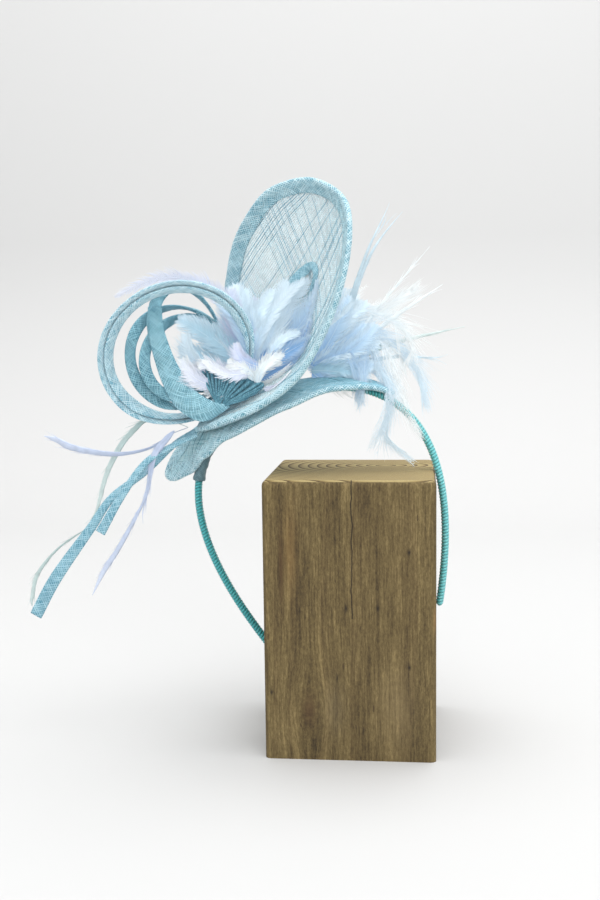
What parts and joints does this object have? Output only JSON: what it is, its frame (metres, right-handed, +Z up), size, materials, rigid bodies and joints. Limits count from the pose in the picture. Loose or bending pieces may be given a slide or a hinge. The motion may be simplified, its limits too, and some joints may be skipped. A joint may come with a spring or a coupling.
{
  "type": "fascinator on a wooden block stand",
  "caption": "Sinamay fascinator with loops, tails, feathers and quills on a wrapped headband, held by the square timber block that it is displayed on.",
  "frame": {"origin": "middle of the timber block's underside", "axes": "+Z up through the block, +X to the right along the headband's span seen from the loops' side, +Y away from the loops' side to the back"},
  "size_m": [0.24, 0.0993, 0.315],
  "materials": {
    "timber": "planed softwood, matt, with weathered rings on its end",
    "wrap": "satin ribbon wound over wire",
    "sinamay": "folded bias sinamay, several layers, slightly glossy",
    "sinamay_pale": "single open-weave sinamay, sheer",
    "feather": "soft barbs, matt",
    "spike": "stripped quills, slightly glossy"
  },
  "bodies": {
    "root": {"timber_block": "timber", "headband": "wrap", "band_sleeve": "sinamay", "base_sheet": "sinamay_pale", "base_binding": "sinamay", "dish_sheet": "sinamay_pale", "dish_binding": "sinamay", "loop_outer": "sinamay", "loop_second": "sinamay", "loop_left": "sinamay", "loop_small": "sinamay", "loop_front": "sinamay", "tail_long": "sinamay", "tail_short": "sinamay", "plume_front": "feather", "plume_back": "feather", "spikes_right": "spike", "spikes_left": "spike", "spikes_front": "spike"}
  },
  "joints": []
}
